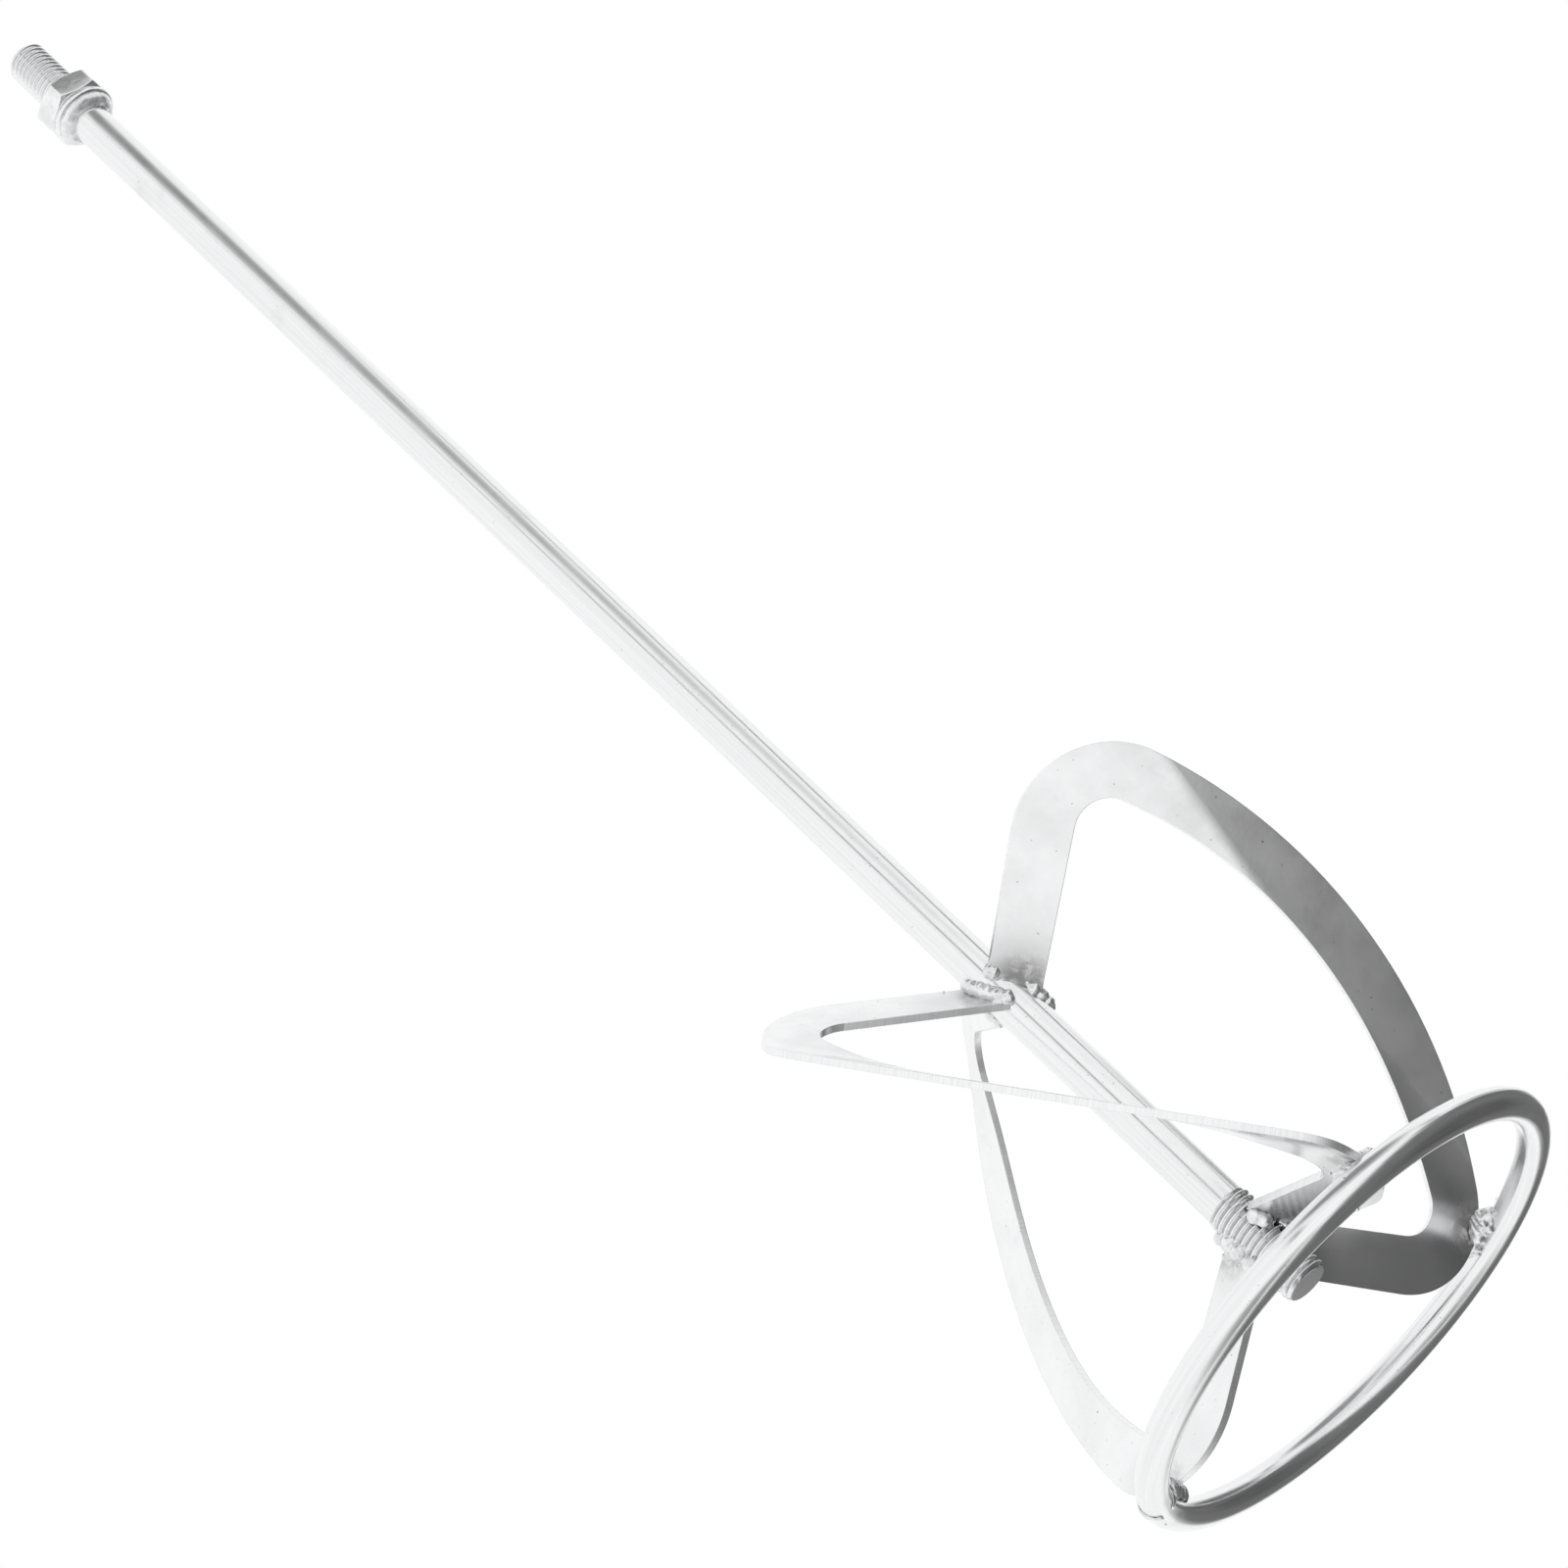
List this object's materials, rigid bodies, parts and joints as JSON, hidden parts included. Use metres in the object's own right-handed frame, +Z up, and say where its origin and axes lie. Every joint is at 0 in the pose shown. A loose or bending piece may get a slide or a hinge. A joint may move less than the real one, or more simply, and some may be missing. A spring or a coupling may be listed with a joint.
{
  "type": "mortar mixing paddle",
  "caption": "Drill-driven mortar mixing paddle: long round shaft with threaded stud and lock nut, pitched D-shaped sheet blades round its foot, tied by a round-bar ring.",
  "frame": {"origin": "on the shaft's axis, at the height of the ring's underside, which the tool stands on", "axes": "+Z up along the shaft to the threaded stud; +X towards blade_1's side of the tool; right-handed, so +Y follows"},
  "size_m": [0.1571, 0.1615, 0.6078],
  "materials": {
    "zinc_bar": "bright zinc plate on drawn round bar",
    "zinc_sheet": "bright zinc plate on laser-cut sheet",
    "zinc_nut": "bright zinc plate on the lock nut and the collar",
    "weld_metal": "rippled weld metal, zinc plated over, with dark specks"
  },
  "bodies": {
    "paddle": {"shaft": "zinc_bar", "stop_collar": "zinc_nut", "collar_weld_bead": "weld_metal", "blade_1": "zinc_sheet", "blade_2": "zinc_sheet", "blade_3": "zinc_sheet", "upper_blade_weld_1": "weld_metal", "upper_blade_weld_2": "weld_metal", "upper_blade_weld_3": "weld_metal", "lower_blade_weld_1": "weld_metal", "lower_blade_weld_2": "weld_metal", "lower_blade_weld_3": "weld_metal", "bottom_ring": "zinc_bar", "ring_closing_weld": "weld_metal", "ring_weld_1": "weld_metal", "ring_weld_2": "weld_metal", "ring_weld_3": "weld_metal"},
    "lock_nut": {"lock_nut": "zinc_nut"}
  },
  "joints": [
    {"name": "lock_nut_turn", "type": "hinge", "parent": "paddle", "child": "lock_nut", "pos_m": [0, 0, 0.5806], "axis": [0, 0, 1], "range_deg": [0, 4140]}
  ]
}
